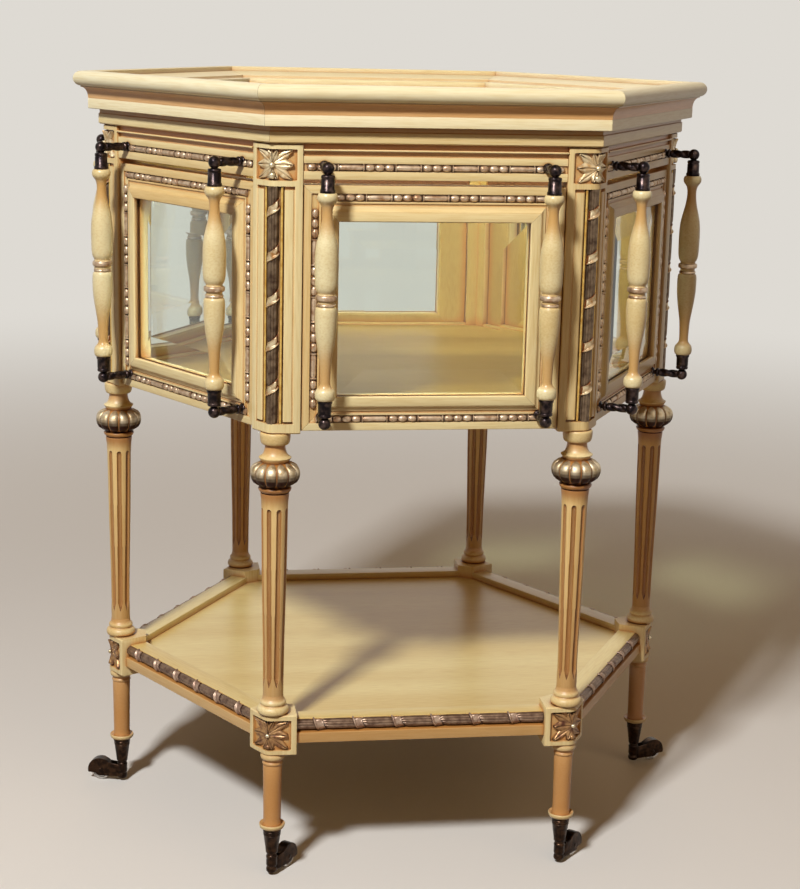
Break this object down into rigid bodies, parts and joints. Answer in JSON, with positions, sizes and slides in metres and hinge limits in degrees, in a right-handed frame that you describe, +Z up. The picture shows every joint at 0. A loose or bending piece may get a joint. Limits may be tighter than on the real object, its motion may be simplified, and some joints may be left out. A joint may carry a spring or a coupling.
{
  "type": "display table",
  "caption": "Hexagonal display table in antiqued cream paint: glazed case with a hinged glazed lid and standing spindles, on turned fluted legs with a shelf and castors.",
  "frame": {"origin": "on the floor under the middle of the table", "axes": "+Z up, the front side looks along -Y, and two of the six corners lie on the X axis"},
  "size_m": [0.6654, 0.606, 0.768],
  "materials": {
    "cream_paint": "satin antiqued cream paint with brown glaze in the recesses and gilt carving",
    "shelf_paint": "satin antiqued cream paint",
    "aged_brass": "dark aged brass",
    "clear_glass": "clear plate with a ground bevel"
  },
  "bodies": {
    "table": {"corner_leg_right": "cream_paint", "corner_leg_back_right": "cream_paint", "corner_leg_back_left": "cream_paint", "corner_leg_left": "cream_paint", "corner_leg_front_left": "cream_paint", "corner_leg_front_right": "cream_paint", "castor_cup_right": "aged_brass", "castor_cup_back_right": "aged_brass", "castor_cup_back_left": "aged_brass", "castor_cup_left": "aged_brass", "castor_cup_front_left": "aged_brass", "castor_cup_front_right": "aged_brass", "case_top_frame": "cream_paint", "side_panel_front": "cream_paint", "panel_glass_front": "clear_glass", "side_panel_front_right": "cream_paint", "panel_glass_front_right": "clear_glass", "side_panel_back_right": "cream_paint", "panel_glass_back_right": "clear_glass", "side_panel_back": "cream_paint", "panel_glass_back": "clear_glass", "side_panel_back_left": "cream_paint", "panel_glass_back_left": "clear_glass", "side_panel_front_left": "cream_paint", "panel_glass_front_left": "clear_glass", "case_floor": "cream_paint", "shelf_frame": "cream_paint", "shelf_board": "shelf_paint", "spindle_front_a": "cream_paint", "spindle_front_b": "cream_paint", "spindle_front_right_a": "cream_paint", "spindle_front_right_b": "cream_paint", "spindle_back_right_a": "cream_paint", "spindle_back_right_b": "cream_paint", "spindle_back_a": "cream_paint", "spindle_back_b": "cream_paint", "spindle_back_left_a": "cream_paint", "spindle_back_left_b": "cream_paint", "spindle_front_left_a": "cream_paint", "spindle_front_left_b": "cream_paint", "hinge_case_leaf_left": "aged_brass", "hinge_case_leaf_right": "aged_brass"},
    "lid": {"lid_frame": "cream_paint", "lid_glass": "clear_glass", "hinge_lid_leaf_left": "aged_brass", "hinge_lid_leaf_right": "aged_brass"},
    "castor_right": {"castor_horn_right": "aged_brass"},
    "wheel_right": {"castor_wheel_right": "aged_brass"},
    "castor_back_right": {"castor_horn_back_right": "aged_brass"},
    "wheel_back_right": {"castor_wheel_back_right": "aged_brass"},
    "castor_back_left": {"castor_horn_back_left": "aged_brass"},
    "wheel_back_left": {"castor_wheel_back_left": "aged_brass"},
    "castor_left": {"castor_horn_left": "aged_brass"},
    "wheel_left": {"castor_wheel_left": "aged_brass"},
    "castor_front_left": {"castor_horn_front_left": "aged_brass"},
    "wheel_front_left": {"castor_wheel_front_left": "aged_brass"},
    "castor_front_right": {"castor_horn_front_right": "aged_brass"},
    "wheel_front_right": {"castor_wheel_front_right": "aged_brass"}
  },
  "joints": [
    {"name": "lid_hinge", "type": "hinge", "parent": "table", "child": "lid", "pos_m": [0, 0.26945, 0.7266], "axis": [-1, 0, 0], "range_deg": [0, 90]},
    {"name": "castor_swivel_right", "type": "hinge", "parent": "table", "child": "castor_right", "pos_m": [0.29, 0, 0.023], "axis": [0, 0, 1], "continuous": true},
    {"name": "wheel_spin_right", "type": "hinge", "parent": "castor_right", "child": "wheel_right", "pos_m": [0.31283, 0.00742, 0.011], "axis": [-0.309, 0.9511, 0], "continuous": true},
    {"name": "castor_swivel_back_right", "type": "hinge", "parent": "table", "child": "castor_back_right", "pos_m": [0.145, 0.25115, 0.023], "axis": [0, 0, 1], "continuous": true},
    {"name": "wheel_spin_back_right", "type": "hinge", "parent": "castor_back_right", "child": "wheel_back_right", "pos_m": [0.13758, 0.27397, 0.011], "axis": [-0.9511, -0.309, 0], "continuous": true},
    {"name": "castor_swivel_back_left", "type": "hinge", "parent": "table", "child": "castor_back_left", "pos_m": [-0.145, 0.25115, 0.023], "axis": [0, 0, 1], "continuous": true},
    {"name": "wheel_spin_back_left", "type": "hinge", "parent": "castor_back_left", "child": "wheel_back_left", "pos_m": [-0.1603, 0.26964, 0.011], "axis": [-0.7705, -0.6374, 0], "continuous": true},
    {"name": "castor_swivel_left", "type": "hinge", "parent": "table", "child": "castor_left", "pos_m": [-0.29, 0, 0.023], "axis": [0, 0, 1], "continuous": true},
    {"name": "wheel_spin_left", "type": "hinge", "parent": "castor_left", "child": "wheel_left", "pos_m": [-0.31283, 0.00742, 0.011], "axis": [-0.309, -0.9511, 0], "continuous": true},
    {"name": "castor_swivel_front_left", "type": "hinge", "parent": "table", "child": "castor_front_left", "pos_m": [-0.145, -0.25115, 0.023], "axis": [0, 0, 1], "continuous": true},
    {"name": "wheel_spin_front_left", "type": "hinge", "parent": "castor_front_left", "child": "wheel_front_left", "pos_m": [-0.1297, -0.23266, 0.011], "axis": [-0.7705, 0.6374, 0], "continuous": true},
    {"name": "castor_swivel_front_right", "type": "hinge", "parent": "table", "child": "castor_front_right", "pos_m": [0.145, -0.25115, 0.023], "axis": [0, 0, 1], "continuous": true},
    {"name": "wheel_spin_front_right", "type": "hinge", "parent": "castor_front_right", "child": "wheel_front_right", "pos_m": [0.16143, -0.23365, 0.011], "axis": [-0.729, 0.6845, 0], "continuous": true}
  ]
}
